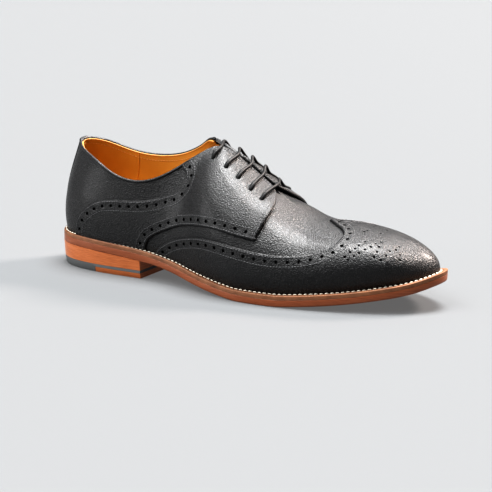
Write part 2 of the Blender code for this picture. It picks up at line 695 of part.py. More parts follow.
def make_laces(model):
    """Lace bars over the throat, each from one eyelet to its twin."""
    lift = GAP + OVERLAY_WALL + GAP + LACE / 2
    for number, (at, up, arch) in enumerate(EYELETS, 1):
        near, near_out = surface_frame(at, up)
        far, far_out = surface_frame(RING - at, up)
        crown = 0.5 * (near + far)
        ridge = last_surface([at, RING - at], [1.0])[:, 0].mean(0)
        crown = Vector((crown.x, ridge[1], ridge[2] + LACE_ARCH * arch))
        stops = [near + near_out * lift, near.lerp(crown, 0.55) + near_out * lift * 1.5,
                 crown, far.lerp(crown, 0.55) + far_out * lift * 1.5, far + far_out * lift]
        stops = np.array([tuple(s) for s in stops])
        share = np.linspace(0, 4, 17)
        lines = [smooth_curve(np.stack([np.arange(5), stops[:, k]], -1), share) for k in range(3)]
        curve = bpy.data.curves.new("bar", "CURVE")
        curve.dimensions = "3D"
        curve.bevel_depth = LACE / 2
        curve.bevel_resolution = 1
        curve.use_fill_caps = True
        spline = curve.splines.new("POLY")
        spline.points.add(len(share) - 1)
        for point, place in zip(spline.points, zip(*lines)):
            point.co = (*place, 1)
        rod = bpy.data.objects.new("bar", curve)
        model.parts.objects.link(rod)
        shape = rod.evaluated_get(bpy.context.evaluated_depsgraph_get())
        mesh = bpy.data.meshes.new_from_object(shape)
        bpy.data.objects.remove(rod, do_unlink=True)
        work = bmesh.new()
        work.from_mesh(mesh)
        bmesh.ops.remove_doubles(work, verts=work.verts, dist=0.00001)
        bmesh.ops.recalc_face_normals(work, faces=work.faces)
        work.to_mesh(mesh)
        work.free()
        mesh.materials.clear()
        model.add(f"lace_bar_{number}", mesh, "lace_cord")


def main():
    model = Model()
    grid = LastGrid()
    make_outsole(model)
    make_welt(model)
    make_heel(model)
    make_insole(model)
    upper = make_upper(model, grid)
    make_wing_cap(model, grid)
    lateral = make_quarter(model, grid, "quarter_lateral", -1)
    medial = make_quarter(model, grid, "quarter_medial", 1)
    punch_eyelets(model, {"upper": upper, "lateral": lateral, "medial": medial})
    make_tongue(model, grid)
    make_laces(model)


main()
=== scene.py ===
"""Brogue derby: the looks of every piece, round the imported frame.

The upper is drawn on the last's own surface: each place on it is a ring parameter `at`
(0 back seam, 1 to 11 lateral side, 12 toe, 13 to 23 medial side) and a share `up` of the
way from the feather edge to the top. Lengths are metres.
"""
import math

import bmesh
import bpy
import numpy as np
from mathutils import Matrix, Vector, geometry, kdtree


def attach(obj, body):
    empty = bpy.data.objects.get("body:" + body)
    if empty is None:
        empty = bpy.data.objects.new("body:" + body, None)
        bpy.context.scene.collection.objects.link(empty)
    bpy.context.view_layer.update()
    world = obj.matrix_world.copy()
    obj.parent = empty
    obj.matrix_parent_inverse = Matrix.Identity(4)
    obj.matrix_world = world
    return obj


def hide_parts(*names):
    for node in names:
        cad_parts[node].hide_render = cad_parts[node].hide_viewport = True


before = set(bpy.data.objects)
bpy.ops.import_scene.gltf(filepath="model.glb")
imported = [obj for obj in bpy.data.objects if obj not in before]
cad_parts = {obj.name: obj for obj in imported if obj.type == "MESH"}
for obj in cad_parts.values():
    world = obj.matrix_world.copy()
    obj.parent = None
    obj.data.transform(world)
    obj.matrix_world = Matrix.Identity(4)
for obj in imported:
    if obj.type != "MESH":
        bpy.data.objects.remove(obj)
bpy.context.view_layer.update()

# Sizes of the last and the sole, as in the frame's own solids
SOLE_LENGTH = 0.304
BALL_WIDTH = 0.100
INSTEP_HEIGHT = 0.086
HEEL_HEIGHT = 0.0178
TOE_SPRING = 0.0200
OUTSOLE = 0.0050
WELT = 0.0030
INSOLE = 0.0025
UPPER_WALL = 0.0020
OVERLAY_WALL = 0.0013
HEEL_RUBBER = 0.0060
RUBBER_LIP = 0.0020
MARGIN_BACK = 0.0025
MARGIN_BALL = 0.0055
MARGIN_TOE = 0.0072
WELT_DEPTH = 0.0060
HEEL_REST = 0.080
FRONT_LIFT = 0.150
HEEL_BREAST = 0.280
LACE = 0.0024
EYELET = 0.0030
ORIGIN_X = HEEL_REST * SOLE_LENGTH

# Sizes of the dressing. A stitch is its length and radius; rows of stitches are depths inside an edge
OVERLAY_SKIN = OVERLAY_WALL + 0.0003
OVERLAY_GAP = 0.0001
EDGE_RADIUS = 0.0009
RIM_RADIUS = 0.0003
HOLE = 0.00118
HOLE_SPACING = 0.0078
HOLE_DEPTH = 0.0045
HOLE_SIDES = 12
BIG_HOLE = 0.0009
SMALL_HOLE = 0.0007
STITCH_PITCH = 0.0021
STITCH = (0.0016, 0.00024)
BACK_STITCHES = (0.0014, 0.0079)
LOW_STITCHES = (0.0016, 0.0074)
FACING_STITCHES = (0.0016, 0.0032)
WING_STITCHES = (0.0016, 0.0076)
LINING_STITCH_PITCH = 0.0024
LINING_STITCH = (0.0017, 0.00022)
WELT_STITCH_PITCH = 0.0036
WELT_STITCH = (0.0023, 0.00045)
LACE_FAR = 0.00105
LACE_NEAR = 0.00175
LACE_END = 0.0045
HEEL_TAPER = 0.0018

# Fineness of the meshes: points along the panels' edges, rows beside them, a row round each hole,
# and how close points have to be to be joined
EDGE_STEP = 0.0013
EDGE_ROWS = (0.0003, 0.0008, 0.0016)
RIM_ROW = 0.0004
MEETING = 0.000005

# Rise of the sole's underside: station (share of SOLE_LENGTH), share of HEEL_HEIGHT or TOE_SPRING
HEEL_RISE = [
    (0.000, 1.000), (0.100, 0.972), (0.200, 0.880), (0.280, 0.765),
    (0.360, 0.560), (0.440, 0.280), (0.520, 0.080), (0.572, 0.000), (1.000, 0.000)]
TOE_RISE = [
    (0.000, 0.000), (0.648, 0.000), (0.720, 0.090), (0.800, 0.240),
    (0.880, 0.455), (0.940, 0.660), (1.000, 1.000)]

# Feather edge, from heel to toe: station, side, outward lean, lower handle
FEATHER_LATERAL = [
    (0.042, -0.200, 12, 0.38), (0.106, -0.296, 10, 0.37), (0.190, -0.323, 8, 0.36),
    (0.290, -0.320, 8, 0.36), (0.385, -0.350, 12, 0.38), (0.470, -0.423, 16, 0.42),
    (0.555, -0.480, 20, 0.44), (0.640, -0.480, 22, 0.46), (0.730, -0.428, 24, 0.48),
    (0.820, -0.333, 24, 0.50), (0.910, -0.195, 24, 0.45)]
FEATHER_MEDIAL = [
    (0.042, 0.200, 14, 0.39), (0.106, 0.290, 10, 0.37), (0.190, 0.300, 8, 0.36),
    (0.290, 0.262, 10, 0.36), (0.385, 0.245, 14, 0.38), (0.475, 0.300, 18, 0.42),
    (0.565, 0.400, 22, 0.44), (0.655, 0.450, 22, 0.46), (0.745, 0.440, 24, 0.48),
    (0.835, 0.380, 24, 0.50), (0.921, 0.266, 24, 0.45)]
# Top line, from heel to throat: station, side, rise, fall of the surface, upper handle
COLLAR_LATERAL = [
    (0.075, -0.160, 0.740, 78, 0.33), (0.135, -0.262, 0.672, 84, 0.33),
    (0.208, -0.305, 0.575, 86, 0.33), (0.299, -0.295, 0.608, 82, 0.33),
    (0.386, -0.195, 0.845, 64, 0.34), (0.449, -0.060, 1.000, 30, 0.36)]
COLLAR_MEDIAL = [
    (0.074, 0.155, 0.772, 79, 0.33), (0.134, 0.255, 0.698, 84, 0.33),
    (0.205, 0.300, 0.680, 86, 0.33), (0.284, 0.290, 0.748, 82, 0.33),
    (0.357, 0.190, 0.910, 64, 0.34), (0.415, 0.060, 1.005, 30, 0.36)]
# Ridge over the instep, shared by both sides: station, side, rise, upper handle
RIDGE = [
    (0.516, 0.005, 0.880, 0.38), (0.601, 0.015, 0.686, 0.40), (0.691, 0.025, 0.522, 0.46),
    (0.778, 0.035, 0.449, 0.60), (0.849, 0.043, 0.372, 0.56)]
BACK_ROW = (0.012, 0.000, 0.042, 0.000, 0.790, 15, 75, 0.40, 0.33)
TOE_ROW = (0.974, 0.046, 0.884, 0.045, 0.324, 12, 0, 0.26, 0.45)
TOE = 12
RING = 24
FIRST_RIDGE = 7

# Edges of the panels on the lateral side, as ring parameter and share of the way up;
# the medial side takes them mirrored
BACK_EDGE = [
    (1.68, 0.00), (1.71, 0.05), (1.78, 0.16), (1.93, 0.285), (2.27, 0.455), (2.70, 0.590),
    (3.45, 0.703), (4.30, 0.716), (4.82, 0.695), (5.06, 0.730), (5.08, 0.795), (4.96, 0.880),
    (4.84, 0.940), (4.76, 1.00)]
FACING_EDGE = [
    (5.86, 1.00), (6.12, 0.985), (6.50, 0.968), (6.88, 0.955), (7.20, 0.952), (7.50, 0.943),
    (7.70, 0.922)]
FRONT_EDGE = [
    (7.70, 0.922), (7.80, 0.885), (7.89, 0.830), (7.95, 0.742), (7.94, 0.650), (7.88, 0.555),
    (7.79, 0.460), (7.68, 0.362)]
LOW_EDGE = [
    (7.68, 0.362), (7.50, 0.351), (7.30, 0.342), (7.03, 0.334), (6.75, 0.328), (6.40, 0.322),
    (6.03, 0.321), (5.58, 0.329), (5.12, 0.334), (4.75, 0.314), (4.42, 0.268), (4.14, 0.183),
    (4.02, 0.060), (4.00, 0.00)]
WING_EDGE = [
    (4.27, 0.00), (4.31, 0.03), (4.42, 0.10), (4.75, 0.190), (5.12, 0.233), (5.58, 0.248),
    (6.00, 0.252), (6.40, 0.256), (6.73, 0.260), (7.03, 0.266), (7.30, 0.273), (7.70, 0.284),
    (8.08, 0.302), (8.45, 0.333), (8.78, 0.365), (9.00, 0.394), (9.22, 0.436), (9.43, 0.494),
    (9.54, 0.550), (9.62, 0.625), (9.67, 0.690), (9.68, 0.758), (9.62, 0.835), (9.51, 0.885),
    (9.38, 0.940), (9.26, 1.00)]

# Eyelets: ring parameter, share of the way up
EYELETS = [(6.05, 0.840), (6.60, 0.780), (7.00, 0.745), (7.35, 0.720), (7.65, 0.700)]
# Each bar of the lace: ring parameters at the near facing's edge and over the far facing, its height there
CROWNS = [
    (6.05, 6.13, 0.0034), (6.60, 6.54, 0.0034), (7.00, 6.88, 0.0036), (7.35, 7.25, 0.0046),
    (7.76, 7.67, 0.0042)]

# Punched holes of the wing cap's pattern on the lateral side: ring parameter, share of the way up,
# 1 for a big hole
MEDALLION = [
    (9.80, 0.392, 1), (9.91, 0.458, 1), (9.88, 0.358, 0), (10.01, 0.408, 0), (10.13, 0.458, 1),
    (10.02, 0.517, 0), (10.11, 0.575, 1), (10.26, 0.517, 0), (10.40, 0.575, 1), (10.53, 0.642, 0),
    (10.60, 0.592, 1), (10.54, 0.500, 0), (10.47, 0.417, 1), (10.67, 0.692, 0), (10.75, 0.900, 1),
    (10.26, 0.650, 0), (10.24, 0.850, 1), (10.33, 0.905, 0), (10.74, 0.450, 0), (10.62, 0.375, 0),
    (10.85, 0.533, 0), (11.02, 0.575, 1), (11.16, 0.650, 0), (11.08, 0.483, 0), (11.05, 0.392, 1)]

# How far a facing stands off the vamp: ring parameter, metres
MEDIAL_LIFT = [
    (4.8, 0.0), (6.0, -0.0002), (6.6, -0.0012), (7.4, -0.0012), (7.95, -0.0014), (12.0, -0.0014)]
LATERAL_LIFT = [(4.8, 0.0), (6.5, 0.0002), (7.5, 0.0014), (7.95, 0.0033), (12.0, 0.0033)]

# Camera read off the photograph, in the frame's own metres and degrees
CAMERA_AZIMUTH = 25.97
CAMERA_ELEVATION = 11.64
CAMERA_DISTANCE = 0.882
CAMERA_PIVOT = (0.150 - ORIGIN_X, 0.0, 0.040)
CAMERA_AIM = (0.1538 - ORIGIN_X, 0.0, 0.0268)
CAMERA_ROLL = 1.757
CAMERA_LENS = 88.7


def hermite(s, start, end, step, leaving, arriving):
    """Cubic between two values with given slopes; s runs from 0 to 1 along the step."""
    return ((1 + 2 * s) * (1 - s) ** 2 * start + s * (1 - s) ** 2 * step * leaving
            + s * s * (3 - 2 * s) * end + s * s * (s - 1) * step * arriving)


def knot_slopes(knots):
    """Steps between knots, by the root of their distance, and the tangent at each knot."""
    steps = np.sqrt(np.linalg.norm(np.diff(knots, axis=0), axis=1))
    slope = np.diff(knots, axis=0) / steps[:, None]
    inner = ((slope[:-1] * steps[1:, None] + slope[1:] * steps[:-1, None])
             / (steps[:-1] + steps[1:])[:, None])
    return steps, np.concatenate([slope[:1], inner, slope[-1:]])


def unit(vectors):
    return vectors / np.linalg.norm(vectors, axis=-1, keepdims=True)


def run_along(line):
    """Distance along a line of points, from its start to each point."""
    return np.concatenate([[0], np.cumsum(np.linalg.norm(np.diff(line, axis=0), axis=1))])


def smooth_curve(table, at):
    """Monotone cubic through the table's (place, value) rows, read at the places given."""
    xs, ys = np.array(table, float).T[:2]
    step = np.diff(xs)
    slope = np.diff(ys) / step
    tangent = np.concatenate([slope[:1], np.zeros(len(xs) - 2), slope[-1:]])
    for i in range(1, len(xs) - 1):
        before, after = slope[i - 1], slope[i]
        if before * after > 0:
            near = 2 * step[i] + step[i - 1]
            far = step[i] + 2 * step[i - 1]
            tangent[i] = (near + far) / (near / before + far / after)
    at = np.clip(np.asarray(at, float), xs[0], xs[-1])
    i = np.clip(np.searchsorted(xs, at, side="right") - 1, 0, len(step) - 1)
    return hermite((at - xs[i]) / step[i], ys[i], ys[i + 1], step[i], tangent[i], tangent[i + 1])


def sole_rise(x):
    """Height of the sole's underside at distances from the heel's back."""
    station = np.asarray(x, float) / SOLE_LENGTH
    return HEEL_HEIGHT * smooth_curve(HEEL_RISE, station) + TOE_SPRING * smooth_curve(TOE_RISE, station)


def feather_height(x):
    """Height of the feather edge, where the upper meets the welt."""
    return sole_rise(x) + OUTSOLE + WELT


def one_side(feather, collar):
    """Section rows of one side, from its feather edge, its top line and the ridge."""
    rows = []
    for (fx, fy, lean, low), (tx, ty, rise, fall, high) in zip(feather, collar):
        rows.append((fx, fy, tx, ty, rise, lean, fall, low, high))
    for (fx, fy, lean, low), (tx, ty, rise, high) in zip(feather[len(collar):], RIDGE):
        rows.append((fx, fy, tx, ty, rise, lean, 0, low, high))
    return rows


def section_rows():
    lateral = one_side(FEATHER_LATERAL, COLLAR_LATERAL)
    medial = one_side(FEATHER_MEDIAL, COLLAR_MEDIAL)
    rows = np.array([BACK_ROW, *lateral, TOE_ROW, *reversed(medial)], float)
    return rows * [SOLE_LENGTH, BALL_WIDTH, SOLE_LENGTH, BALL_WIDTH, INSTEP_HEIGHT, 1, 1, 1, 1]


ROWS = section_rows()
SPLINE = 4 * np.eye(RING) + np.roll(np.eye(RING), 1, 0) + np.roll(np.eye(RING), -1, 0)
BEND = np.linalg.solve(SPLINE, 6 * (np.roll(ROWS, -1, 0) - 2 * ROWS + np.roll(ROWS, 1, 0)))


def lateral_twin(at):
    """The ring parameter mirrored to the lateral side."""
    return np.where(at > TOE, RING - at, at)


def ring_curve(at):
    """Closed cubic spline through the section rows."""
    at = np.asarray(at, float) % RING
    i = np.floor(at).astype(int) % RING
    j = (i + 1) % RING
    f = (at - np.floor(at))[:, None]
    return ((1 - f) * ROWS[i] + f * ROWS[j]
            + ((1 - f) ** 3 - (1 - f)) * BEND[i] / 6 + (f ** 3 - f) * BEND[j] / 6)


def sections(at):
    """Section values at ring parameters. Both sides take one ridge."""
    at = np.asarray(at, float) % RING
    values = ring_curve(at)
    lateral = ring_curve(lateral_twin(at))
    share = np.clip(TOE - FIRST_RIDGE + 1 - np.abs(at - TOE), 0, 1)
    share = (share * share * (3 - 2 * share))[:, None]
    values[:, 2:5] = (1 - share) * values[:, 2:5] + share * lateral[:, 2:5]
    return values


def outward(at):
    """Unit normal of the feather edge, seen from above."""
    step = 0.001
    along = (sections(np.asarray(at, float) + step) - sections(np.asarray(at, float) - step))[:, :2]
    return unit(np.stack([along[:, 1], -along[:, 0]], -1))


RIDGE_ROWS = ROWS[FIRST_RIDGE - 1:TOE + 1]
RIDGE_LINE = np.stack([RIDGE_ROWS[:, 2], feather_height(RIDGE_ROWS[:, 2]) + RIDGE_ROWS[:, 4]], -1)


def ridge_slope(x):
    """Slope of the ridge, seen from the side."""
    step = 0.0001
    x = np.clip(x, RIDGE_LINE[0, 0] + step, RIDGE_LINE[-1, 0] - step)
    return (smooth_curve(RIDGE_LINE, x + step) - smooth_curve(RIDGE_LINE, x - step)) / (2 * step)


def surface(at, up):
    """Points of the upper's outside, one for each pair of ring parameter and share."""
    at = np.asarray(at, float)
    up = np.asarray(up, float)[:, None]
    fx, fy, tx, ty, rise, lean, fall, low, high = sections(at).T
    foot = np.stack([fx, fy, feather_height(fx)], -1)
    top = np.stack([tx, ty, feather_height(tx) + rise], -1)
    chord = np.linalg.norm(top - foot, axis=1)[:, None]
    out = outward(at)
    slope = ridge_slope(tx)
    forward = np.stack([np.ones_like(slope), 0 * slope, slope], -1) / np.sqrt(1 + slope ** 2)[:, None]
    lean = np.radians(lean)[:, None]
    fall = np.radians(fall)[:, None]
    vertical = np.array([[0.0, 0.0, 1.0]])
    sideways = np.array([[0.0, 1.0, 0.0]])
    rising = np.concatenate([out, 0 * lean], 1) * np.sin(lean) + vertical * np.cos(lean)
    falling = (out[:, :1] * forward + out[:, 1:] * sideways) * np.cos(fall) - vertical * np.sin(fall)
    second = foot + rising * chord * low[:, None]
    third = top + falling * chord * high[:, None]
    point = ((1 - up) ** 3 * foot + 3 * up * (1 - up) ** 2 * second
             + 3 * up ** 2 * (1 - up) * third + up ** 3 * top)
    point[:, 0] -= ORIGIN_X
    return point


def on_ridge(places):
    """Places on the ridge are read from the lateral side, so that both sides meet."""
    places = np.array(places, float)
    twin = (places[:, 1] > 1 - 1e-6) & (places[:, 0] > TOE) & (places[:, 0] <= RING - FIRST_RIDGE)
    places[twin, 0] = RING - places[twin, 0]
    return places


def frames(places):
    """Points, tangents along the ring and up the section, and outward normals."""
    places = on_ridge(places)
    step = 0.004
    up = np.clip(places[:, 1], step, 1 - 0.015)
    along = (surface(places[:, 0] + step, up) - surface(places[:, 0] - step, up)) / (2 * step)
    rise = (surface(places[:, 0], up + step) - surface(places[:, 0], up - step)) / (2 * step)
    return surface(places[:, 0], places[:, 1]), along, rise, unit(np.cross(along, rise))


# Flat working plane for outlines: metres to a step of ring parameter and of share
PLANE = np.array([0.025, 0.080])


def mirrored(path):
    """The same path on the medial side."""
    path = np.array(path, float)
    return np.stack([RING - path[:, 0], path[:, 1]], -1)


def smooth_path(points, spacing):
    """Rounded path through places, with points spaced evenly on the surface."""
    knots = np.array(points, float) * PLANE
    steps, tangent = knot_slopes(knots)
    s = np.linspace(0, 1, 24, endpoint=False)[:, None]
    fine = [hermite(s, knots[i], knots[i + 1], step, tangent[i], tangent[i + 1])
            for i, step in enumerate(steps)]
    return even(np.concatenate(fine + [knots[-1:]]) / PLANE, spacing)


def even(path, spacing):
    """The path with its points spaced evenly on the surface, both ends kept."""
    place = on_ridge(path)
    line = surface(place[:, 0], np.clip(place[:, 1], 0, 1))
    run = run_along(line)
    count = max(2, int(round(run[-1] / spacing)) + 1)
    at = np.linspace(0, run[-1], count)
    return np.stack([np.interp(at, run, path[:, k]) for k in (0, 1)], -1)


def moved(places, vector):
    """Places moved by vectors on the surface."""
    _, along, rise, _ = frames(places)
    pairs = ((along, along), (along, rise), (rise, rise), (vector, along), (vector, rise))
    aa, ar, rr, va, vr = [(first * second).sum(1) for first, second in pairs]
    det = aa * rr - ar * ar
    return places + np.stack([(va * rr - vr * ar) / det, (vr * aa - va * ar) / det], -1)


def beside(path, distance):
    """The path moved sideways on the surface; positive is to its left seen from outside."""
    path = np.array(path, float)
    steps = max(1, int(math.ceil(abs(distance) / 0.0015)))
    for _ in range(steps):
        point, _, _, normal = frames(path)
        side = unit(np.cross(normal, np.gradient(point, axis=0)))
        path = moved(path, side * distance / steps)
    steps = np.linalg.norm(np.diff(path * PLANE, axis=0), axis=1)
    return path[np.concatenate([[True], steps > 1e-5])]


def joined(*paths):
    """Closed outline from paths that meet end to end."""
    return np.concatenate([path[:-1] for path in paths])


def trimmed(path, low, high):
    """The part of the path whose share of the way up lies between two values."""
    return path[(path[:, 1] >= low) & (path[:, 1] <= high)]


def ring_at(place, radius, sides):
    """Places on a circle of a radius round a place."""
    turn = np.linspace(0, 2 * math.pi, sides, endpoint=False)
    centre = np.repeat([place], sides, 0)
    _, along, _, normal = frames(centre)
    along = unit(along)
    other = np.cross(normal, along)
    vector = along * np.cos(turn)[:, None] + other * np.sin(turn)[:, None]
    return moved(centre, vector * radius)


def inside(points, polygon):
    """Whether each point lies in a closed polygon."""
    x, y = points[:, :1], points[:, 1:]
    ax, ay = polygon[:, 0], polygon[:, 1]
    bx, by = np.roll(ax, -1), np.roll(ay, -1)
    crosses = (ay > y) != (by > y)
    with np.errstate(divide="ignore", invalid="ignore"):
        reach = (bx - ax) * (y - ay) / (by - ay) + ax
    return (crosses & (x < reach)).sum(1) % 2 == 1


def tree_of(points):
    tree = kdtree.KDTree(len(points))
    for i, point in enumerate(points):
        tree.insert(point, i)
    tree.balance()
    return tree


def distances(points, tree):
    return np.array([tree.find(point)[2] for point in points])


class Panel:
    """Leather panel: a triangulated area of the last's surface, with punched holes."""

    def __init__(self, outline, free, holes=(), spacing=0.0022):
        """Outline and free edges as paths of places; holes as (ring parameter, share, radius)."""
        outline = np.array(outline)
        self.edge_tree = tree_of(surface(*on_ridge(np.concatenate(free)).T))
        rims = [ring_at(hole[:2], hole[2], HOLE_SIDES) for hole in holes]
        extra = [ring_at(hole[:2], hole[2] + RIM_ROW, HOLE_SIDES) for hole in holes]
        for path in free:
            for depth in EDGE_ROWS:
                for side in (1, -1):
                    row = beside(path, side * depth)
                    row = row[inside(row * PLANE, outline * PLANE)]
                    if len(row):
                        near = distances(surface(row[:, 0], row[:, 1]), self.edge_tree)
                        row = row[near > 0.85 * depth]
                    extra.append(row)
        fill = self.lattice(outline, spacing)
        taken = [surface(p[:, 0], np.clip(p[:, 1], 0, 1)) for p in [outline, *extra, *rims]]
        near = distances(surface(fill[:, 0], fill[:, 1]), tree_of(np.concatenate(taken)))
        fill = fill[near > 0.45 * spacing]
        points = np.concatenate([outline, *rims, *extra, fill])
        edges = []
        start = 0
        for loop in [outline, *rims]:
            count = len(loop)
            edges += [(start + i, start + (i + 1) % count) for i in range(count)]
            start += count
        flat = [Vector(p) for p in points * PLANE]
        out = geometry.delaunay_2d_cdt(flat, edges, [], 0, 1e-7)
        places = np.round(np.array([tuple(v) for v in out[0]]) / PLANE, 5)
        faces = np.array([f for f in out[2] if len(f) == 3])
        middle = places[faces].mean(1)
        keep = inside(middle * PLANE, outline * PLANE)
        for rim in rims:
            close = np.all((middle >= rim.min(0)) & (middle <= rim.max(0)), axis=1) & keep
            keep[close] = ~inside(middle[close] * PLANE, rim * PLANE)
        self.take(places, faces[keep])
        if rims:
            self.hole_tree = tree_of(np.concatenate([surface(*rim.T) for rim in rims]))

    @staticmethod
    def lattice(outline, spacing):
        """Places in a triangular grid inside the outline."""
        low, high = (outline * PLANE).min(0), (outline * PLANE).max(0)
        xs = np.arange(low[0], high[0], spacing)
        ys = np.arange(low[1], high[1], spacing * 0.866)
        grid = np.array([(x + (0.5 * spacing if j % 2 else 0), y) for j, y in enumerate(ys) for x in xs])
        return grid[inside(grid, outline * PLANE)] / PLANE

    def take(self, places, faces):
        """Join the places that meet in space, and read the surface there."""
        places = on_ridge(np.clip(places, [-99, 0], [99, 1]))
        points = surface(places[:, 0], places[:, 1])
        _, first, twin = np.unique(np.round(points, 5), axis=0, return_index=True, return_inverse=True)
        twin = twin.reshape(-1)
        faces = twin[faces]
        faces = faces[(faces != np.roll(faces, 1, axis=1)).all(1)]
        used, numbers = np.unique(faces, return_inverse=True)
        self.faces = numbers.reshape(faces.shape)
        self.places = places[first][used]
        self.points, _, _, self.normals = frames(self.places)
        turn = np.cross(self.points[self.faces[:, 1]] - self.points[self.faces[:, 0]],
                        self.points[self.faces[:, 2]] - self.points[self.faces[:, 0]])
        flipped = (turn * self.normals[self.faces[:, 0]]).sum(1) < 0
        self.faces[flipped] = self.faces[flipped][:, ::-1]

    def edge_distance(self):
        return distances(self.points, self.edge_tree)

    def shell(self, name, outer, inner, material):
        """Closed shell between two offsets of the surface."""
        count = len(self.points)
        outside = self.points + self.normals * np.reshape(outer, (-1, 1))
        within = self.points + self.normals * np.reshape(inner, (-1, 1))
        foot = self.places[:, 1] < 1e-6
        floor = feather_height(self.points[foot, 0] + ORIGIN_X)
        outside[foot, 2] = floor
        within[foot, 2] = floor
        faces = [tuple(f) for f in self.faces] + [tuple(f + count)[::-1] for f in self.faces]
        sides = set()
        for a, b, c in self.faces:
            sides.update(((a, b), (b, c), (c, a)))
        faces += [(b, a, a + count, b + count) for a, b in sorted(sides) if (b, a) not in sides]
        return solid(name, np.concatenate([outside, within]), faces, material)


def placed(name, data):
    """New object in the scene."""
    item = bpy.data.objects.new(name, data)
    bpy.context.scene.collection.objects.link(item)
    return item


def solid(name, points, faces, material, sharp=50):
    """Object from points and faces, shaded smooth."""
    mesh = bpy.data.meshes.new(name)
    mesh.from_pydata(np.array(points, float).tolist(), [], [tuple(map(int, f)) for f in faces])
    mesh.validate()
    mesh.materials.append(material)
    mesh.shade_smooth()
    mesh.set_sharp_from_angle(angle=math.radians(sharp))
    return placed(name, mesh)


def tidy(piece):
    """Join points that meet, and turn the faces outward."""
    work = bmesh.new()
    work.from_mesh(piece.data)
    bmesh.ops.remove_doubles(work, verts=work.verts, dist=MEETING)
    bmesh.ops.recalc_face_normals(work, faces=work.faces)
    work.to_mesh(piece.data)
    work.free()
    return piece


def stands_for(piece, slot, *nodes):
    """The piece rides on the one body and replaces the nodes; the slot is not used."""
    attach(piece, "root")
    if nodes:
        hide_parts(*nodes)


def ring_faces(count, layers, closed=False):
    """Faces between rings of points; a closed pile joins its last ring to the first."""
    faces = []
    pairs = list(zip(range(layers), range(1, layers)))
    if closed:
        pairs.append((layers - 1, 0))
    for low, high in pairs:
        for i in range(count):
            k = (i + 1) % count
            faces.append((low * count + i, low * count + k, high * count + k, high * count + i))
    return faces


def tube_mesh(line, radius, sides):
    """Points and faces of a tube with closed ends along a line of points."""
    line = np.array(line, float)
    tangent = unit(np.gradient(line, axis=0))
    side = np.cross(tangent[0], [0.0, 0.0, 1.0])
    if np.linalg.norm(side) < 0.2:
        side = np.cross(tangent[0], [0.0, 1.0, 0.0])
    points = []
    radius = np.broadcast_to(radius, len(line))
    turn = np.linspace(0, 2 * math.pi, sides, endpoint=False)
    for i, centre in enumerate(line):
        side = unit(side - tangent[i] * np.dot(side, tangent[i]))
        other = np.cross(tangent[i], side)
        for a in turn:
            points.append(centre + (side * math.cos(a) + other * math.sin(a)) * radius[i])
    faces = ring_faces(sides, len(line))
    faces.append(tuple(range(sides))[::-1])
    faces.append(tuple((len(line) - 1) * sides + k for k in range(sides)))
    return np.array(points), faces


class Joined:
    """Many small shapes gathered into one mesh."""

    def __init__(self):
        self.points = []
        self.faces = []
        self.count = 0

    def add(self, points, faces):
        self.points.append(np.array(points))
        self.faces += [tuple(n + self.count for n in f) for f in faces]
        self.count += len(points)

    def make(self, name, material, sharp=60):
        return solid(name, np.concatenate(self.points), self.faces, material, sharp)


def rounded_line(points, count):
    """Rounded line of points in space through stops."""
    stops = np.array(points, float)
    steps, tangent = knot_slopes(stops)
    at = np.concatenate([[0], np.cumsum(steps)])
    where = np.linspace(0, at[-1], count)
    i = np.clip(np.searchsorted(at, where, side="right") - 1, 0, len(steps) - 1)
    s = ((where - at[i]) / steps[i])[:, None]
    return hermite(s, stops[i], stops[i + 1], steps[i][:, None], tangent[i], tangent[i + 1])


class Shader:
    """Small helper that builds a node material."""

    def __init__(self, name, **values):
        self.material = bpy.data.materials.new(name)
        self.material.use_nodes = True
        self.tree = self.material.node_tree
        self.surface = self.tree.nodes["Principled BSDF"]
        for key, value in values.items():
            self.surface.inputs[key.replace("_", " ")].default_value = value
        self.space = self.tree.nodes.new("ShaderNodeTexCoord").outputs["Object"]

    def node(self, kind, **settings):
        node = self.tree.nodes.new(kind)
        for key, value in settings.items():
            if key in node.inputs:
                node.inputs[key].default_value = value
            else:
                setattr(node, key, value)
        return node

    def link(self, out, into):
        self.tree.links.new(out, into)

    def noise(self, scale, detail=3.0, roughness=0.55, stretch=None):
        node = self.node("ShaderNodeTexNoise", Scale=scale, Detail=detail, Roughness=roughness)
        self.link(self.mapped(stretch), node.inputs["Vector"])
        return node.outputs["Fac"]

    def cells(self, scale):
        node = self.node("ShaderNodeTexVoronoi", Scale=scale)
        self.link(self.space, node.inputs["Vector"])
        return node.outputs["Distance"]

    def mapped(self, stretch):
        if stretch is None:
            return self.space
        node = self.node("ShaderNodeMapping")
        node.inputs["Scale"].default_value = stretch
        self.link(self.space, node.inputs["Vector"])
        return node.outputs["Vector"]

    def ramp(self, value, *stops):
        """Colour ramp with stops of (place, colour); a colour of one number is a grey."""
        node = self.node("ShaderNodeValToRGB")
        ramp = node.color_ramp
        while len(ramp.elements) < len(stops):
            ramp.elements.new(0.5)
        for element, (place, colour) in zip(ramp.elements, stops):
            element.position = place
            element.color = (*colour, 1) if len(colour) == 3 else (colour[0],) * 3 + (1,)
        self.link(value, node.inputs["Fac"])
        return node.outputs["Color"]

    def added(self, first, second):
        """Sum of two colours."""
        node = self.node("ShaderNodeMix", data_type="RGBA", blend_type="ADD", Factor=1.0)
        first_colour, second_colour, result = node.inputs[6], node.inputs[7], node.outputs[2]
        self.link(first, first_colour)
        self.link(second, second_colour)
        return result

    def colour(self, value):
        self.link(value, self.surface.inputs["Base Color"])

    def rough(self, value):
        self.link(value, self.surface.inputs["Roughness"])

    def bumps(self, *layers):
        """Bump layers of (height, strength, distance), one on another."""
        last = None
        for height, strength, distance in layers:
            node = self.node("ShaderNodeBump", Strength=strength, Distance=distance)
            self.link(height, node.inputs["Height"])
            if last:
                self.link(last, node.inputs["Normal"])
            last = node.outputs["Normal"]
        self.link(last, self.surface.inputs["Normal"])


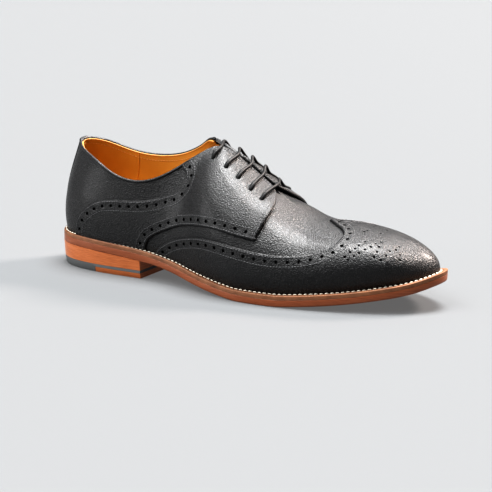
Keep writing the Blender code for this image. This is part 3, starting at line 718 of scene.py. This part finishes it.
def black_leather():
    """Fine-grained black leather with a polished finish."""
    s = Shader("black_leather", IOR=1.5, Coat_Weight=0.10, Coat_Roughness=0.2)
    s.surface.inputs["Specular IOR Level"].default_value = 0.40
    cloud = s.noise(45, 3)
    tone = s.ramp(cloud, (0.35, (0.0030, 0.0030, 0.0033)), (0.70, (0.006, 0.006, 0.0063)))
    speck = s.ramp(s.noise(1000, 1), (0.50, (0.0,)), (0.62, (0.010,)))
    s.colour(s.added(tone, speck))
    s.rough(s.ramp(s.noise(900, 2, 0.6), (0.35, (0.27,)), (0.65, (0.52,))))
    s.bumps((s.noise(28, 2), 0.10, 0.0006),
            (s.cells(1000), 0.80, 0.00042),
            (s.noise(1700, 2), 0.70, 0.00032))
    return s.material


def lining_leather():
    s = Shader("tan_lining", Roughness=0.55, IOR=1.45)
    cloud = s.noise(38, 4)
    s.colour(s.ramp(cloud, (0.30, (0.41, 0.185, 0.024)), (0.72, (0.51, 0.250, 0.039))))
    s.bumps((s.cells(900), 0.16, 0.00015), (s.noise(120, 4), 0.15, 0.0004))
    return s.material


def welt_leather():
    s = Shader("welt_leather", Roughness=0.5, IOR=1.45)
    cloud = s.noise(150, 5)
    s.colour(s.ramp(cloud, (0.30, (0.16, 0.066, 0.030)), (0.70, (0.25, 0.115, 0.056))))
    s.bumps((s.noise(900, 4), 0.25, 0.0002), (s.cells(700), 0.12, 0.0002))
    return s.material


def sole_edge(name, low, middle, high):
    """Stained and waxed edge of leather in thin layers."""
    s = Shader(name, IOR=1.45, Coat_Weight=0.15, Coat_Roughness=0.25)
    fibres = s.noise(90, 5, stretch=(1, 1, 26))
    s.colour(s.ramp(fibres, (0.25, low), (0.50, middle), (0.75, high)))
    s.rough(s.ramp(s.noise(120, 4), (0.3, (0.34,)), (0.7, (0.50,))))
    s.bumps((s.noise(160, 5, stretch=(1, 1, 22)), 0.25, 0.0003))
    return s.material


def rubber():
    s = Shader("rubber", Base_Color=(0.13, 0.135, 0.135, 1), IOR=1.45)
    s.rough(s.ramp(s.noise(200, 4), (0.3, (0.55,)), (0.7, (0.72,))))
    s.bumps((s.noise(700, 4), 0.25, 0.0002))
    return s.material


def waxed_cord():
    s = Shader("lace_cord", Roughness=0.5, IOR=1.4)
    s.colour(s.ramp(s.noise(900, 3), (0.3, (0.001, 0.001, 0.001)), (0.7, (0.005, 0.005, 0.005))))
    s.bumps((s.cells(1500), 0.5, 0.0003))
    return s.material


def thread(name, low, high, roughness):
    s = Shader(name, Roughness=roughness)
    s.colour(s.ramp(s.noise(900, 3), (0.3, low), (0.7, high)))
    s.bumps((s.noise(2500, 2), 0.4, 0.0002))
    return s.material


BLACK = black_leather()
LINING = lining_leather()
WELT_LEATHER = welt_leather()
SOLE_LEATHER = sole_edge("sole_leather", (0.16, 0.042, 0.013), (0.235, 0.069, 0.024), (0.31, 0.102, 0.040))
STACK_LEATHER = sole_edge("stack_leather", (0.32, 0.092, 0.024), (0.48, 0.152, 0.048), (0.60, 0.213, 0.076))
RUBBER = rubber()
CORD = waxed_cord()
DARK_THREAD = thread("dark_thread", (0.035, 0.035, 0.037), (0.12, 0.12, 0.123), 0.35)
# Pale tan: the thread of the lining stitches, and a painted highlight along the lining's edge.
LINING_THREAD_AND_EDGE_HIGHLIGHT = thread("lining_thread_and_painted_highlight", (0.52, 0.26, 0.07), (0.66, 0.36, 0.12), 0.5)
SEAM = thread("lining_seam", (0.46, 0.19, 0.026), (0.56, 0.25, 0.038), 0.6)
# Dark brown for the tube beside the welt's stitches: painted shade of a groove.
GROOVE_PAINTED_SHADE = thread("welt_groove_painted_shade", (0.045, 0.018, 0.010), (0.08, 0.030, 0.016), 0.6)
PALE_THREAD = thread("pale_thread", (0.62, 0.56, 0.46), (0.80, 0.76, 0.66), 0.6)


def smooth_step(value, start, end):
    share = np.clip((np.asarray(value, float) - start) / (end - start), 0, 1)
    return share * share * (3 - 2 * share)


def facing_lift(places):
    """How far the quarter stands off the vamp near the throat."""
    far = places[:, 0] > TOE
    at = lateral_twin(places[:, 0])
    lift = np.where(far, smooth_curve(MEDIAL_LIFT, at), smooth_curve(LATERAL_LIFT, at))
    return lift * smooth_step(places[:, 1], np.where(far, 0.45, 0.32), np.where(far, 0.90, 0.60))


def base_lift(places):
    """Lift of the wall under the overlays; it dips under the front of the far facing."""
    far = places[:, 0] > TOE
    at = lateral_twin(places[:, 0])
    lift = facing_lift(places) * (1 - smooth_step(at, 7.2, 7.85))
    dip = np.where(far, 0.0030, 0.0) * smooth_step(places[:, 1], 0.50, 0.85)
    dip = dip * smooth_step(at, 7.0, 7.5) * (1 - smooth_step(at, 7.85, 8.4))
    return lift - dip


def rounded_height(distance, radius, low):
    """Height of a panel's rounded edge, as a share of its thickness."""
    s = np.clip(distance / radius, 0, 1)
    return low + (1 - low) * np.sqrt(np.clip(1 - (1 - s) ** 2, 0, 1))


def hole_row(path, depth, first, last):
    """Round holes along a path, at a depth inside it, between two distances from its ends."""
    row = even(beside(path, -depth), 0.0005)
    run = np.linspace(0, 1, len(row)) * 0.0005 * (len(row) - 1)
    count = int(round((run[-1] - first - last) / HOLE_SPACING)) + 1
    at = np.linspace(first, run[-1] - last, count)
    return [(np.interp(a, run, row[:, 0]), np.interp(a, run, row[:, 1]), HOLE) for a in at]


BACK_PATH, FACING_PATH, FRONT_PATH, LOW_PATH, WING_PATH = [
    smooth_path(edge, EDGE_STEP) for edge in (BACK_EDGE, FACING_EDGE, FRONT_EDGE, LOW_EDGE, WING_EDGE)]


def level(up, start, end, step=0.0022):
    """Points of a line of constant share, both ends kept."""
    path = np.array([(a, up) for a in np.linspace(start, end, 400)])
    return even(path, step)


def over_toe(start):
    """Line along the ridge, from a place on the lateral side over the toe to its twin."""
    half = level(1.0, start, TOE)
    return np.concatenate([half, mirrored(half)[::-1][1:]])


def eyelet_holes(side):
    return [(at if side < 0 else RING - at, up, EYELET / 2) for at, up in EYELETS]


def overlay(panel, name, node, base):
    """Panel laid on the upper, with rounded edges and holes, over a base height."""
    edge = rounded_height(panel.edge_distance(), EDGE_RADIUS, 0.30)
    rim = rounded_height(distances(panel.points, panel.hole_tree), RIM_RADIUS, 0.93)
    piece = panel.shell(name, base + OVERLAY_SKIN * edge * rim, base, BLACK)
    stands_for(piece, "upper_leather", node)


def quarter(side):
    """Quarter of one side (-1 lateral, 1 medial) with its punched holes."""
    name = "quarter_lateral" if side < 0 else "quarter_medial"
    outline = joined(BACK_PATH, level(1.0, BACK_PATH[-1][0], FACING_PATH[0][0]), FACING_PATH,
                     FRONT_PATH, LOW_PATH, level(0.0, LOW_PATH[-1][0], BACK_PATH[0][0]))
    free = [BACK_PATH, FACING_PATH, FRONT_PATH, LOW_PATH]
    holes = hole_row(BACK_PATH, HOLE_DEPTH, 0.0055, 0.0048)
    holes += hole_row(LOW_PATH, HOLE_DEPTH, 0.0072, 0.0050)
    if side > 0:
        outline = mirrored(outline)[::-1]
        free = [mirrored(p) for p in free]
        holes = [(RING - a, u, r) for a, u, r in holes]
    holes += eyelet_holes(side)
    panel = Panel(outline, free, holes)
    overlay(panel, name + "_leather", name, 1.2 * OVERLAY_GAP + facing_lift(panel.places))


def wing_cap():
    """Winged toe cap over both sides, with its rows of holes and the pattern on the toe."""
    medial = mirrored(WING_PATH)[::-1]
    bottom = level(0.0, medial[-1][0], WING_PATH[0][0])
    outline = joined(WING_PATH, over_toe(WING_PATH[-1][0]), medial, bottom)
    holes = hole_row(WING_PATH, HOLE_DEPTH + 0.0001, 0.0060, 0.0045)
    holes += [(a, u, BIG_HOLE if big else SMALL_HOLE) for a, u, big in MEDALLION]
    holes += [(RING - a, u, r) for a, u, r in holes]
    overlay(Panel(outline, [WING_PATH, medial], holes), "wing_cap_leather", "wing_cap", OVERLAY_GAP)


def base_panel(setback):
    """Vamp and collar: the wall under the overlays, with the throat open by a share more."""
    throat = smooth_path(FACING_EDGE + [(7.86, 0.945), (7.97, 0.985), (8.00, 1.0)], EDGE_STEP)
    throat[:, 1] -= setback * smooth_step(8.0 - throat[:, 0], 0.0, 0.25)
    throat[0, 1] = 1.0
    medial = mirrored(throat)[::-1]
    seam = np.array([(RING, u) for u in np.linspace(1, 0, 40)])
    outline = joined(level(1.0, 0, throat[0][0]), throat, over_toe(throat[-1][0]), medial,
                     level(1.0, medial[-1][0], RING), seam, level(0.0, RING, 0), mirrored(seam)[::-1])
    return Panel(outline, [throat, medial], eyelet_holes(-1) + eyelet_holes(1))


def upper_shell():
    """The upper's black outside and its tan lining, back to back."""
    panel = base_panel(0.0)
    lift = base_lift(panel.places)
    stands_for(panel.shell("vamp_and_collar", lift, lift - 0.0010, BLACK), "upper_leather", "upper")
    panel = base_panel(0.05)
    lift = base_lift(panel.places)
    stands_for(panel.shell("lining_leather", lift - 0.0011, lift - UPPER_WALL, LINING), "lining", "upper")


def stitch_shape(length, radius):
    """One stitch lying along X: a short rounded bar."""
    line = [(x * length / 2, 0, z * radius) for x, z in
            ((-1.0, -0.8), (-0.8, -0.1), (-0.35, 0.15), (0.35, 0.15), (0.8, -0.1), (1.0, -0.8))]
    return tube_mesh(line, [radius * r for r in (0.45, 0.9, 1.0, 1.0, 0.9, 0.45)], 6)


def place_stitches(group, shape, centres, directions, normals):
    """Stitches of one shape at centres, each along its direction and standing on its normal."""
    points, faces = shape
    for centre, along, up in zip(centres, unit(directions), normals):
        across = unit(np.cross(up, along))
        group.add(centre + points @ np.stack([along, across, np.cross(along, across)]), faces)


def stitch_row(group, path, height, pitch, size, face=1):
    """Stitches along a path on the upper, at heights over its outside (face 1) or inside (-1)."""
    row = even(path, pitch)
    point, _, _, normal = frames(row)
    point = point + face * normal * np.reshape(height(row), (-1, 1))
    place_stitches(group, stitch_shape(*size), point, np.gradient(point, axis=0), face * normal)


def quarter_top(row):
    """Height of the stitches on a quarter."""
    return facing_lift(row) + OVERLAY_WALL + 0.0005


def wing_top(row):
    return np.full(len(row), OVERLAY_WALL + 0.0005)


def lining_depth(row):
    return np.full(len(row), UPPER_WALL + 0.0001)


def upper_stitches():
    """Rows of dark stitches along the edges of the overlays."""
    group = Joined()
    for side in (-1, 1):
        rows = []
        for path, depths in ((BACK_PATH, BACK_STITCHES), (LOW_PATH, LOW_STITCHES)):
            for depth in depths:
                rows.append((trimmed(beside(path, -depth), 0.01, 0.985), quarter_top))
        for depth in FACING_STITCHES:
            row = beside(np.concatenate([FACING_PATH, FRONT_PATH[1:]]), -depth)
            rows.append((trimmed(row, 0.40, 0.985), quarter_top))
        for depth in WING_STITCHES:
            rows.append((trimmed(beside(WING_PATH, -depth), 0.01, 0.99), wing_top))
        for row, height in rows:
            row = row if side < 0 else mirrored(row)
            stitch_row(group, row, height, STITCH_PITCH, STITCH)
    stands_for(group.make("upper_stitches", DARK_THREAD), "upper_leather")


def collar_bead():
    """Rolled binding along the top line, and below it a thin tube of lighter lining colour: a painted
    highlight on the lining's edge.
    """
    path = np.concatenate([level(1.0, RING - FACING_PATH[0][0], RING, 0.002)[:-1],
                           level(1.0, 0, FACING_PATH[0][0], 0.002)])
    point, _, _, normal = frames(path)
    lift = facing_lift(path)[:, None]
    line = point + normal * (lift - 0.0003)
    back = np.minimum(path[:, 0], RING - path[:, 0])
    tube = tube_mesh(line, 0.0011 + 0.0007 * (1 - smooth_step(back, 0.22, 0.36)), 12)
    stands_for(solid("collar_bead", *tube, BLACK, 80), "upper_leather")
    # Lighter lining colour along the lining's top edge: painted highlight.
    tube = tube_mesh(point + normal * (lift - 0.0019) - [0, 0, 0.0003], 0.00045, 8)
    stands_for(solid("lining_edge_painted_highlight", *tube, LINING_THREAD_AND_EDGE_HIGHLIGHT, 80), "lining")


def back_strip():
    """Narrow strip over the back seam."""
    path = smooth_path([(0.26, 0.0), (0.25, 0.3), (0.26, 0.6), (0.28, 0.85), (0.27, 1.0)], EDGE_STEP)
    other = np.stack([-path[:, 0], path[:, 1]], -1)
    across = np.array([(a, 1.0) for a in np.linspace(0.27, -0.27, 12)])
    under = np.array([(a, 0.0) for a in np.linspace(-0.26, 0.26, 12)])
    panel = Panel(joined(path, across, other[::-1], under), [path, other])
    edge = rounded_height(panel.edge_distance(), 0.0007, 0.3)
    stands_for(panel.shell("back_strip_leather", 0.0011 * edge, -0.0002, BLACK), "upper_leather")


def lining_trim():
    """Stitches below the lining's edge and its seams, on the inside."""
    group = Joined()
    for side in (-1, 1):
        row = beside(level(1.0, 0.05, FACING_PATH[0][0], 0.002), -0.0034)
        row = row if side < 0 else mirrored(row)
        stitch_row(group, row, lining_depth, LINING_STITCH_PITCH, LINING_STITCH, -1)
    stands_for(group.make("lining_stitches", LINING_THREAD_AND_EDGE_HIGHLIGHT), "lining")
    group = Joined()
    for at in (2.3, RING - 2.3):
        point, _, _, normal = frames(np.array([(at, u) for u in np.linspace(0.05, 0.985, 40)]))
        group.add(*tube_mesh(point - normal * UPPER_WALL, 0.00035, 8))
    stands_for(group.make("lining_seams", SEAM), "lining")


# How far the sole's edge stands out from the feather edge: station, metres
MARGINS = [(0.0, MARGIN_BACK), (0.25, 0.5 * (MARGIN_BACK + MARGIN_BALL) - 0.0005),
           (0.5, MARGIN_BALL), (1.0, MARGIN_TOE)]
SOLE_AT = np.arange(RING * 14) / 14
SOLE_FEATHER = sections(SOLE_AT)[:, :2]
SOLE_OUT = outward(SOLE_AT)
SOLE_MARGIN = smooth_curve(MARGINS, SOLE_FEATHER[:, 0] / SOLE_LENGTH)


def outline(out):
    """Closed line round the sole, at distances out from the feather edge."""
    return SOLE_FEATHER + SOLE_OUT * np.reshape(out, (-1, 1))


def over_sole(edge, height):
    """Points over a line drawn from above, at heights over the sole's underside."""
    return np.column_stack([edge[:, 0] - ORIGIN_X, edge[:, 1], sole_rise(edge[:, 0]) + height])


def cross_strips(first, count):
    """Faces from side to side over one ring, from heel to toe."""
    faces = []
    for i in range(count // 2):
        corners = (first + i, first + i + 1, first + (count - i - 1) % count, first + (count - i) % count)
        faces.append(tuple(dict.fromkeys(corners)))
    return faces


def layer(name, profile, material, closed=False):
    """Layer of the sole from its edge's profile; a closed profile makes a strip."""
    rings = [over_sole(outline(out), height) for out, height in profile]
    count = len(rings[0])
    faces = ring_faces(count, len(rings), closed)
    if not closed:
        faces += cross_strips(0, count) + cross_strips((len(rings) - 1) * count, count)
    return tidy(solid(name, np.concatenate(rings), faces, material, 40))


def arc_rows(out, low, high, bottom, top, steps=5):
    """Profile of an edge from low to high with rounded corners, as (out, height) rows."""
    turns = [math.pi / 2 * k / steps for k in range(steps + 1)]
    return ([(out - bottom * (1 - math.sin(a)), low + bottom * (1 - math.cos(a))) for a in turns]
            + [(out - top * (1 - math.cos(a)), high - top * (1 - math.sin(a))) for a in turns])


def sole_pieces():
    """Outsole, welt and insole."""
    station = SOLE_FEATHER[:, 0] / SOLE_LENGTH
    bottom = 0.0001 + 0.0010 * smooth_step(station, HEEL_BREAST, HEEL_BREAST + 0.05)
    rows = arc_rows(SOLE_MARGIN, 0.0, OUTSOLE - 0.0001, bottom, 0.0003)
    stands_for(layer("outsole_leather", rows, SOLE_LEATHER), "sole_leather", "outsole")
    rows = arc_rows(SOLE_MARGIN, OUTSOLE - 0.0001, OUTSOLE + WELT - 0.0001, 0.0002, 0.0006)
    top = OUTSOLE + WELT
    rows += [(-WELT_DEPTH, top - 0.0001), (-WELT_DEPTH, OUTSOLE)]
    stands_for(layer("welt_strip", rows, WELT_LEATHER, closed=True), "welt", "welt")
    rows = [(-WELT_DEPTH - 0.0003, OUTSOLE), (-WELT_DEPTH - 0.0003, top), (-UPPER_WALL - 0.0002, top),
            (-UPPER_WALL - 0.0002, top + 0.0015), (-UPPER_WALL - 0.0006, top + 0.0022),
            (-UPPER_WALL - 0.0014, top + INSOLE)]
    stands_for(layer("insole_sock", rows, LINING), "lining", "insole")


def welt_line(share, height):
    """Closed line on the welt at a share of its width."""
    line = over_sole(outline(SOLE_MARGIN * share), OUTSOLE + WELT + height)
    return np.concatenate([line, line[:1]])


def welt_stitches():
    """Pale stitches in a row along the welt, close to the upper, and beside them a thin dark brown tube:
    painted shade of a groove.
    """
    # The dark brown tube along the welt is painted shade where a groove's shadow would fall.
    tube = tube_mesh(welt_line(0.62, -0.0002), 0.0003, 8)
    stands_for(solid("welt_groove_painted_shade", *tube, GROOVE_PAINTED_SHADE, 80), "welt")
    line = welt_line(0.40, 0.0001)
    run = run_along(line)
    count = int(run[-1] / WELT_STITCH_PITCH)
    at = (np.arange(count) + 0.5) * run[-1] / count
    centres, ahead = [np.stack([np.interp(places, run, line[:, k]) for k in range(3)], -1)
                      for places in (at, np.minimum(at + 0.0005, run[-1]))]
    group = Joined()
    upright = np.tile([0.0, 0.0, 1.0], (count, 1))
    place_stitches(group, stitch_shape(*WELT_STITCH), centres, ahead - centres, upright)
    stands_for(group.make("welt_stitches", PALE_THREAD), "welt")


def heel_loop(inset, start, end):
    """Outline of the heel between two stations."""
    edge = outline(SOLE_MARGIN - inset)
    half = len(edge) // 2
    lateral = edge[:half]
    medial = np.concatenate([edge[:1], edge[:half:-1]])
    lines = []
    for line in (lateral, medial):
        line = line[:np.argmax(line[:, 0])]
        x = [max(start * SOLE_LENGTH, line[0, 0]), end * SOLE_LENGTH]
        places = np.linspace(0, 1, 40) ** 1.6 * (x[1] - x[0]) + x[0]
        lines.append(np.stack([places, np.interp(places, line[:, 0], line[:, 1])], -1))
    return np.concatenate([lines[0], lines[1][::-1]])


def heel_block(name, start, end, rows, material):
    """Block of the heel: rows of inset and height; None takes the sole's underside."""
    loops = []
    for inset, height in rows:
        loop = over_sole(heel_loop(inset, start, end), -0.0002)
        if height is not None:
            loop[:, 2] = height
        loops.append(loop)
    count = len(loops[0])
    faces = ring_faces(count, len(loops))
    for first in (0, (len(loops) - 1) * count):
        for i in range(count // 2 - 1):
            faces.append((first + i, first + i + 1, first + count - 2 - i, first + count - 1 - i))
    return tidy(solid(name, np.concatenate(loops), faces, material, 40))


def heel_pieces():
    """Heel stack, rubber with its lip, and the leather piece in front under the lip."""
    taper = HEEL_TAPER
    lip = HEEL_RUBBER - RUBBER_LIP
    rows = [(taper / 2, HEEL_RUBBER + 0.0001), (0.0, None)]
    stands_for(heel_block("heel_stack_leather", 0, HEEL_BREAST, rows, STACK_LEATHER),
               "sole_leather", "heel_stack")
    rows = [(taper + 0.0005, 0), (taper, 0.0005), (taper / 2, HEEL_RUBBER)]
    back = heel_block("heel_rubber_back", 0, FRONT_LIFT, rows, RUBBER)
    stands_for(back, "rubber", "heel_rubber")
    rows = [(0.55 * taper, lip), (taper / 2, HEEL_RUBBER)]
    stands_for(heel_block("heel_rubber_lip", FRONT_LIFT - 0.001, HEEL_BREAST, rows, RUBBER),
               "rubber", "heel_rubber")
    rows = [(taper + 0.0004, 0), (taper, 0.0004), (0.6 * taper, lip - 0.0001)]
    stands_for(heel_block("heel_front_leather", FRONT_LIFT + 0.001, HEEL_BREAST, rows, STACK_LEATHER),
               "sole_leather", "heel_front_lift")


def tongue():
    """Tongue under the throat, rounded at its top."""
    rows = []
    for at in np.linspace(8.3, 6.25, 24):
        up = np.linspace(0.70, 1.0, 12)
        near_places = np.stack([np.full(12, at), up], -1)
        far_places = mirrored(near_places)[::-1]
        near, _, _, near_out = frames(near_places)
        far, _, _, far_out = frames(far_places)
        depth = UPPER_WALL + 0.0017 + 0.0015 * smooth_step(at, 7.0, 8.0)
        bridge = 0.5 * (near[-1] - near_out[-1] * depth + far[0] - far_out[0] * depth)
        rows.append(np.concatenate([near - near_out * depth, [bridge], far - far_out * depth]))
    top = rows[-1]
    run = (top - rows[-2]) * 3
    middle = top[12]
    for beyond, width in ((0.3, 0.95), (0.6, 0.84), (0.8, 0.70), (0.9, 0.5)):
        rows.append(middle + (top - middle) * width + run * beyond - [0, 0, 0.002 * beyond])
    rows = np.array(rows)
    count = rows.shape[1]
    faces = [(r * count + c, r * count + c + 1, (r + 1) * count + c + 1, (r + 1) * count + c)
             for r in range(len(rows) - 1) for c in range(count - 1)]
    piece = solid("tongue_leather", rows.reshape(-1, 3), faces, BLACK)
    tidy(piece)
    if piece.data.polygons[len(piece.data.polygons) // 2].normal.z < 0:
        piece.data.flip_normals()
    wall = piece.modifiers.new("wall", "SOLIDIFY")
    wall.thickness = 0.0018
    wall.offset = -1
    stands_for(piece, "upper_leather", "tongue")


def laces():
    """The lace's bars over the throat, with their ends turned down into the eyelets."""
    group = Joined()
    nodes = []
    for number, (at, up) in enumerate(EYELETS, 1):
        nodes.append(f"lace_bar_{number}")
        edge, far, height = CROWNS[number - 1]
        places = np.array([
            (at, up), (at * 0.8 + edge * 0.2, up * 0.8 + 0.188), (edge, 0.94),
            (RING - far + 0.05, 0.915), (RING - far - 0.05, 0.85), (RING - at, up)])
        point, _, _, normal = frames(places)
        # Height over the surface at each place: a share of the height at rest, and what is added
        rest = facing_lift(places) + OVERLAY_WALL + LACE / 2
        rest = rest * [0.35, 1.2, 1.2, 0, 0.9, 0.2] + [0, 0, 0.0006, height, 0, 0]
        over = point + normal * rest[:, None]
        stops = [point[0] - normal[0] * LACE_END, *over, point[-1] - normal[-1] * LACE_END]
        line = rounded_line(stops, 64)
        near = smooth_step(np.linspace(1, 0, 64), 0.60, 0.92)
        group.add(*tube_mesh(line, LACE_FAR + (LACE_NEAR - LACE_FAR) * near, 12))
    stands_for(group.make("lace", CORD, 80), "lace", *nodes)


def camera():
    """Camera at the photograph's angle."""
    azimuth, elevation = math.radians(CAMERA_AZIMUTH), math.radians(CAMERA_ELEVATION)
    back = Vector((math.sin(azimuth) * math.cos(elevation), -math.cos(azimuth) * math.cos(elevation),
                   math.sin(elevation)))
    place = Vector(CAMERA_PIVOT) + back * CAMERA_DISTANCE
    forward = (Vector(CAMERA_AIM) - place).normalized()
    right = forward.cross(Vector((0, 0, 1))).normalized()
    above = right.cross(forward)
    roll = math.radians(CAMERA_ROLL)
    right, above = (right * math.cos(roll) + above * math.sin(roll),
                    above * math.cos(roll) - right * math.sin(roll))
    data = bpy.data.cameras.new("camera")
    data.lens = CAMERA_LENS
    data.sensor_width = 36
    eye = placed("camera", data)
    matrix = Matrix((right, above, -forward)).transposed().to_4x4()
    matrix.translation = place
    eye.matrix_world = matrix
    bpy.context.scene.camera = eye


def soft_sun(name, source, strength, angle, colour):
    """Broad soft light from far away, coming from a direction."""
    data = bpy.data.lights.new(name, "SUN")
    data.energy = strength
    data.angle = math.radians(angle)
    data.color = colour
    placed(name, data).rotation_euler = Vector(source).to_track_quat("Z", "Y").to_euler()


# Soft lights: name, where from, strength, angle, colour
SUNS = [
    ("key", (0.06, 0.14, 0.99), 8.4, 28, (1, 1, 1)),
    ("front", (-0.30, -0.46, 0.83), 2.9, 40, (1, 1, 1)),
    ("back", (-0.10, 0.74, 0.64), 0.5, 40, (1, 1, 1)),
    ("window", (-0.77, -0.61, 0.20), 1.0, 26, (1, 1, 1)),
    ("warm", (0.43, 0.65, 0.63), 5.0, 14, (1.0, 0.87, 0.80))]


def studio():
    """Pale floor, a pale world and soft lights."""
    shade = Shader("floor", Base_Color=(0.086, 0.090, 0.093, 1), Roughness=0.9,
                   Emission_Color=(1, 1, 1, 1), Emission_Strength=0.13)
    shade.surface.inputs["Specular IOR Level"].default_value = 0.1
    reach = 30
    corners = [(-reach, -reach, 0), (reach, -reach, 0), (reach, reach, 0), (-reach, reach, 0)]
    floor = solid("floor", corners, [(0, 1, 2, 3)], shade.material)
    world = bpy.data.worlds.new("world")
    world.use_nodes = True
    world.node_tree.nodes["Background"].inputs["Color"].default_value = (0.95, 0.97, 1.0, 1)
    world.node_tree.nodes["Background"].inputs["Strength"].default_value = 0.16
    bpy.context.scene.world = world
    for sun in SUNS:
        soft_sun(*sun)
    view = bpy.context.scene.view_settings
    view.view_transform = "Standard"
    view.look = "High Contrast"


upper_shell()
quarter(-1)
quarter(1)
wing_cap()
upper_stitches()
collar_bead()
back_strip()
lining_trim()
tongue()
laces()
sole_pieces()
welt_stitches()
heel_pieces()
camera()
studio()
